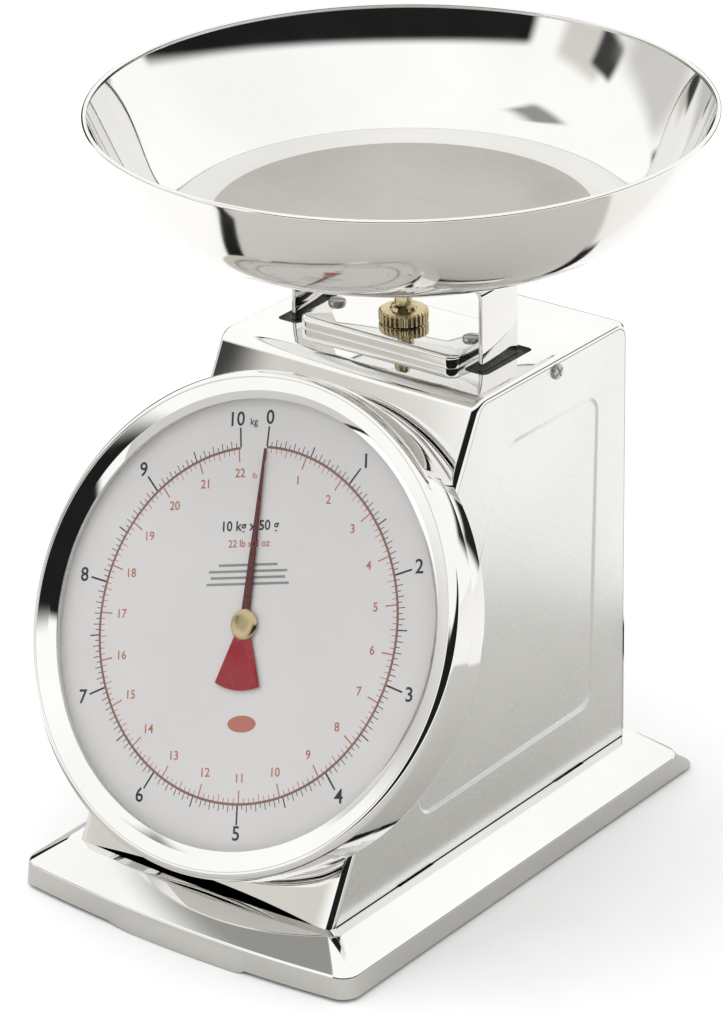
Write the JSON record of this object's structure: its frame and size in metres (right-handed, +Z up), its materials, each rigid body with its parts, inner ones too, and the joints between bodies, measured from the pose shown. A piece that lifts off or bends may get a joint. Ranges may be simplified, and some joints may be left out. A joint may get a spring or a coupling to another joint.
{
  "type": "kitchen scale",
  "caption": "Mechanical dial kitchen scale: steel case with a sloping front, large round dial and red pointer, stepped base, and a wide lift-off bowl on a sprung platform.",
  "frame": {"origin": "middle of the outer box at the plane of the feet, on the floor", "axes": "+Z up, +X to the right of someone facing the dial, +Y from the dial towards the back"},
  "size_m": [0.27, 0.308, 0.33],
  "materials": {
    "polished_steel": "mirror polished stainless sheet",
    "side_steel": "bright satin stainless sheet",
    "inner_steel": "plain zinc plated",
    "spring_steel": "drawn wire",
    "brass": "turned, bright",
    "black_plastic": "moulded acetal",
    "white_plastic": "moulded",
    "rubber": "moulded",
    "dial_print": "warm white enamel, printed",
    "glass": "clear",
    "red_paint": "gloss"
  },
  "bodies": {
    "case": {"base_tray": "polished_steel", "floor_plate": "inner_steel", "rubber_feet": "rubber", "foot_screws": "inner_steel", "wrap_cover": "polished_steel", "side_panel_left": "side_steel", "side_panel_right": "side_steel", "side_screws": "inner_steel", "dial_drum": "polished_steel", "drum_screws": "inner_steel", "drum_nuts": "inner_steel", "mechanism_frame": "inner_steel", "bearing_front": "brass", "bearing_rear": "brass", "rack_guide": "black_plastic", "suspension_bridge": "polished_steel", "bridge_screws": "inner_steel", "bridge_nuts": "inner_steel", "zero_stem": "inner_steel", "spring_hanger": "inner_steel", "spring_left": "spring_steel", "spring_right": "spring_steel", "strap_guides": "black_plastic", "guide_rod": "inner_steel"},
    "load_frame": {"load_strap": "polished_steel", "lower_crossbar": "inner_steel", "crossbar_rivets": "inner_steel", "spring_anchor": "inner_steel", "guide_bush": "brass", "rack_arm": "inner_steel", "pan_support": "side_steel", "pan_rivets": "inner_steel"},
    "bowl": {"bowl": "polished_steel"},
    "zero_nut": {"zero_nut": "brass"},
    "dial": {"bezel_ring": "polished_steel", "dial_glass": "glass", "glass_spacer": "white_plastic", "dial_card": "dial_print"},
    "pointer": {"pointer": "red_paint", "pointer_nut": "brass", "spindle": "inner_steel", "pinion": "brass"},
    "rack": {"rack": "brass", "rack_pin": "inner_steel"}
  },
  "joints": [
    {"name": "platform_travel", "type": "slide", "parent": "case", "child": "load_frame", "axis": [0, 0, -1], "range_m": [0, 0.01187], "stiffness_N_per_m": 8265, "springref_m": -0.0014, "deforming": ["spring_left", "spring_right"]},
    {"name": "rack_slide", "type": "slide", "parent": "case", "child": "rack", "axis": [0, -0.4695, -0.8829], "range_m": [0, 0.01345]},
    {"name": "pointer_spin", "type": "hinge", "parent": "case", "child": "pointer", "pos_m": [0, -0.07645, 0.12147], "axis": [0, -0.8829, 0.4695], "range_deg": [-350, 0]},
    {"name": "dial_turn", "type": "hinge", "parent": "case", "child": "dial", "pos_m": [0, -0.07645, 0.12147], "axis": [0, -0.8829, 0.4695], "continuous": true},
    {"name": "zero_nut_turn", "type": "hinge", "parent": "case", "child": "zero_nut", "pos_m": [0, 0.019, 0.235], "axis": [0, 0, 1], "continuous": true},
    {"name": "bowl_lift", "type": "slide", "parent": "load_frame", "child": "bowl", "axis": [0, 0, 1], "range_m": [0, 0.12]}
  ],
  "couplings": [
    {"joint": "rack_slide", "follows": "platform_travel", "ratio": 1.1326},
    {"joint": "pointer_spin", "follows": "platform_travel", "rad_per_m": -514.6}
  ]
}
